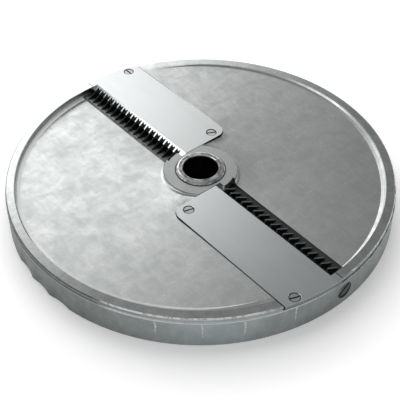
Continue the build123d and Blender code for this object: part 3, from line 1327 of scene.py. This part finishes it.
@dataclass
class Studio:
    """White table, soft light from the back left, and the camera that took the photograph.

    The world is a low even light with soft boxes in it. One more soft box stands above the disc. It
    lights matt surfaces only, so that the disc keeps a soft shadow on the table.
    """

    look_height: float = 18.3
    distance: float = 495.1
    elevation: float = 41.23
    azimuth: float = -40.0
    roll: float = 0.251
    lens: float = 84.2
    shift: Span = (-0.00138, -0.07738)
    sensor: float = 36.0
    near: float = 0.01
    boxes: tuple[SoftBox, ...] = (
        SoftBox((-15.0, 15.0), (66.0, 46.0), (1.0, 9.0), (52.5, 36.5), 1.47),
        SoftBox((75.4, 76.8), (125.0, 112.0), (20.0, 26.0), (47.0, 41.0), 1.5),
        SoftBox((112.0, 135.0), (182.0, 181.0), (30.0, 42.0), (84.0, 72.0), 0.25),
        SoftBox((-182.0, -181.0), (-112.0, -135.0), (30.0, 42.0), (84.0, 72.0), 0.25))
    base_light: float = 0.2
    backdrop_top: Span = (16.0, 12.0)
    above_bearing: float = 15.0
    above_elevation: float = 60.0
    above_distance: float = 1.0
    above_size: float = 0.9
    above_power: float = 7.0
    table_reach: float = 6.0
    table_white: Colour = (0.86, 0.86, 0.86)
    table_painted_shadow: Colour = (0.04, 0.04, 0.04)
    table_roughness: float = 0.9
    table_drop: float = 0.02
    table_lift: float = 0.3
    lift_step: float = 0.35
    hidden: Span = (96.0, 100.0)
    shadow: Span = (120.0, 180.0)

    def camera(self) -> Object:
        """Puts the camera at the photograph's place, turned by its small roll.

        Returns:
            The camera's object.
        """
        away = self.aim(self.azimuth, self.elevation)
        look = Vector((0.0, 0.0, self.look_height * MM))
        data = bpy.data.cameras.new("photo_camera")
        data.lens = self.lens
        data.sensor_width = self.sensor
        data.sensor_fit = "HORIZONTAL"
        data.shift_x, data.shift_y = self.shift
        data.clip_start = self.near
        camera = self.stand(data, look + away * self.distance * MM, away, -math.radians(self.roll))
        bpy.context.scene.camera = camera
        return camera

    def stand(self, data: bpy.types.ID, spot: Vector, away: Vector, roll: float = 0.0) -> Object:
        """Stands a camera or a lamp so that it looks back along a direction.

        Args:
            data: the camera or the lamp, whose name its object takes as well.
            spot: where it stands.
            away: direction to it from what it looks at.
            roll: its turn about its own axis, in radians.

        Returns:
            The new object.
        """
        thing = bpy.data.objects.new(data.name, data)
        turn = (-away).to_track_quat("-Z", "Y").to_matrix().to_4x4()
        thing.matrix_world = Matrix.Translation(spot) @ turn @ Matrix.Rotation(roll, 4, "Z")
        bpy.context.scene.collection.objects.link(thing)
        return thing

    def aim(self, azimuth: float, elevation: float) -> Vector:
        """Direction of length 1 at an azimuth and an elevation in degrees."""
        round_z, up = math.radians(azimuth), math.radians(elevation)
        return Vector((math.cos(up) * math.cos(round_z), math.cos(up) * math.sin(round_z), math.sin(up)))

    def toward(self, bearing: float, elevation: float) -> Vector:
        """Direction from the disc at a bearing, counted from straight behind it, and an elevation."""
        return self.aim(self.azimuth + HALF_TURN + bearing, elevation)

    def world(self) -> None:
        """Makes the world: the low light, the soft boxes, and a white backdrop above the table's end."""
        world = bpy.data.worlds.new("soft_studio")
        bpy.context.scene.world = world
        world.use_nodes = True
        graph = Graph(world.node_tree)
        ray = graph.place("ShaderNodeTexCoord").outputs["Generated"]
        bearing = graph.sum_up("ARCTAN2", self.aside(graph, ray, 90.0), self.aside(graph, ray, 0.0))
        up = graph.sum_up("ARCSINE", graph.split(ray)["Z"])
        level = graph.plus(self.base_light, *(box.level(graph, bearing, up) for box in self.boxes))
        low = graph.swing(up, *self.backdrop_top)
        surface = world.node_tree.nodes["Background"]
        graph.feed(surface.inputs["Color"], WHITE)
        graph.feed(surface.inputs["Strength"], graph.blend_value(self.seen(graph, low), level, 1.0))

    def seen(self, graph: Graph, share: Value) -> Socket:
        """1 for rays from the camera, and a share for those that metal or glass has sent on.

        Args:
            graph: tree of the world or of a material.
            share: how much a ray counts that metal or glass has sent on.

        Returns:
            The mask's socket.
        """
        path = graph.place("ShaderNodeLightPath").outputs
        sent = graph.greatest(path["Is Glossy Ray"], path["Is Transmission Ray"])
        return graph.greatest(path["Is Camera Ray"], graph.times(sent, share))

    def aside(self, graph: Graph, ray: Socket, bearing: float) -> Socket:
        """Share of a ray that points to a bearing on the level.

        Args:
            graph: the world's tree.
            ray: direction of the ray.
            bearing: bearing in degrees.

        Returns:
            The share's socket.
        """
        dot = graph.place("ShaderNodeVectorMath", operation="DOT_PRODUCT")
        graph.feed(dot.inputs[0], ray)
        dot.inputs[1].default_value = self.toward(bearing, 0.0)
        return dot.outputs["Value"]

    def lamp(self) -> Object:
        """Hangs the soft box above the disc, which only matt surfaces see.

        Returns:
            The lamp's object.
        """
        data = bpy.data.lights.new("soft_box_above", "AREA")
        data.shape = "SQUARE"
        data.size = self.above_size
        data.energy = self.above_power
        away = self.toward(self.above_bearing, self.above_elevation)
        lamp = self.stand(data, away * self.above_distance, away)
        lamp.visible_glossy = False
        lamp.visible_camera = False
        return lamp

    def table(self) -> Object:
        """Lays the table: a level square on a grid of two parameters.

        Its corners are at plus and minus the reach. Under the disc it has a painted shadow, where no light
        of the room would get to it.

        Returns:
            The table's object.
        """
        side = np.array([-self.table_reach, self.table_reach])
        x, y = np.meshgrid(side, side, indexing="ij")
        points = np.stack([x, y, np.full_like(x, -self.table_drop * MM)], axis=-1).reshape(-1, 3)
        mesh = bpy.data.meshes.new("table")
        mesh.from_pydata(points.tolist(), [], [(0, 2, 3, 1)])
        table = bpy.data.objects.new("table", mesh)
        bpy.context.scene.collection.objects.link(table)
        mesh.materials.append(self.table_finish())
        return table

    def table_finish(self) -> Material:
        """Makes the table's matt white, which is lifted for what sees it but still takes the shadow, with
        less lift near the disc as a painted shadow.

        Returns:
            The table's material.
        """
        shade = Shade("white_table")
        shade.give("Roughness", self.table_roughness)
        shade.give("Specular IOR Level", 0.0)
        shade.give("Emission Color", WHITE)
        # Painted shadow: dark and unlifted under the disc.
        beside = shade.rise(shade.radius, *(edge * MM for edge in self.hidden), wave=Wave.STRAIGHT)
        shade.give("Base Color", shade.blend_colour(beside, self.table_painted_shadow, self.table_white))
        # Painted shadow: the lift is smaller within the shadow span round the disc.
        far = shade.rise(shade.radius, *(edge * MM for edge in self.shadow))
        lift = shade.blend_value(far, self.table_lift, self.table_lift + self.lift_step)
        shade.give("Emission Strength", shade.times(self.seen(shade, 1.0), beside, lift))
        return shade.material


def main() -> None:
    """Loads the frame, dresses each sub-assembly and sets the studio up."""
    logging.basicConfig(level=logging.INFO, format="%(name)s: %(message)s")
    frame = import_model()
    nodes = frame["nodes"]
    LOG.info("frame loaded with %d nodes", len(nodes))
    groups: list[SubAssembly] = [Disc(nodes), Hub(nodes)]
    # Painted light and shade: each comb gets its own slope and bar tones, a lit and a shaded copy of one
    # finish.
    combs = {Side.FIRST: Comb(nodes, Side.FIRST, (0.24, 0.25, 0.245), (0.05, 0.052, 0.05)),
             Side.SECOND: Comb(nodes, Side.SECOND, (0.05, 0.052, 0.05), (0.34, 0.347, 0.343))}
    # Painted light and shade: the first blade gets lighter tones than the second, of the same steel.
    blades = {Side.FIRST: SlicingBlade(nodes, Side.FIRST, (0.83, 0.865, 0.87), (0.89, 0.925, 0.93)),
              Side.SECOND: SlicingBlade(nodes, Side.SECOND, (0.69, 0.71, 0.71), (0.76, 0.78, 0.78))}
    for side in Side:
        groups += [blades[side], combs[side]]
    for group in groups:
        group.dress()
    studio = Studio()
    LOG.info("stage: %s", studio.table().name)
    studio.world()
    LOG.info("light: %s", studio.lamp().name)
    LOG.info("camera: %s", studio.camera().name)
    bpy.context.scene.view_settings.view_transform = "Standard"
    LOG.info("sizes written")


if __name__ == "__main__":
    main()
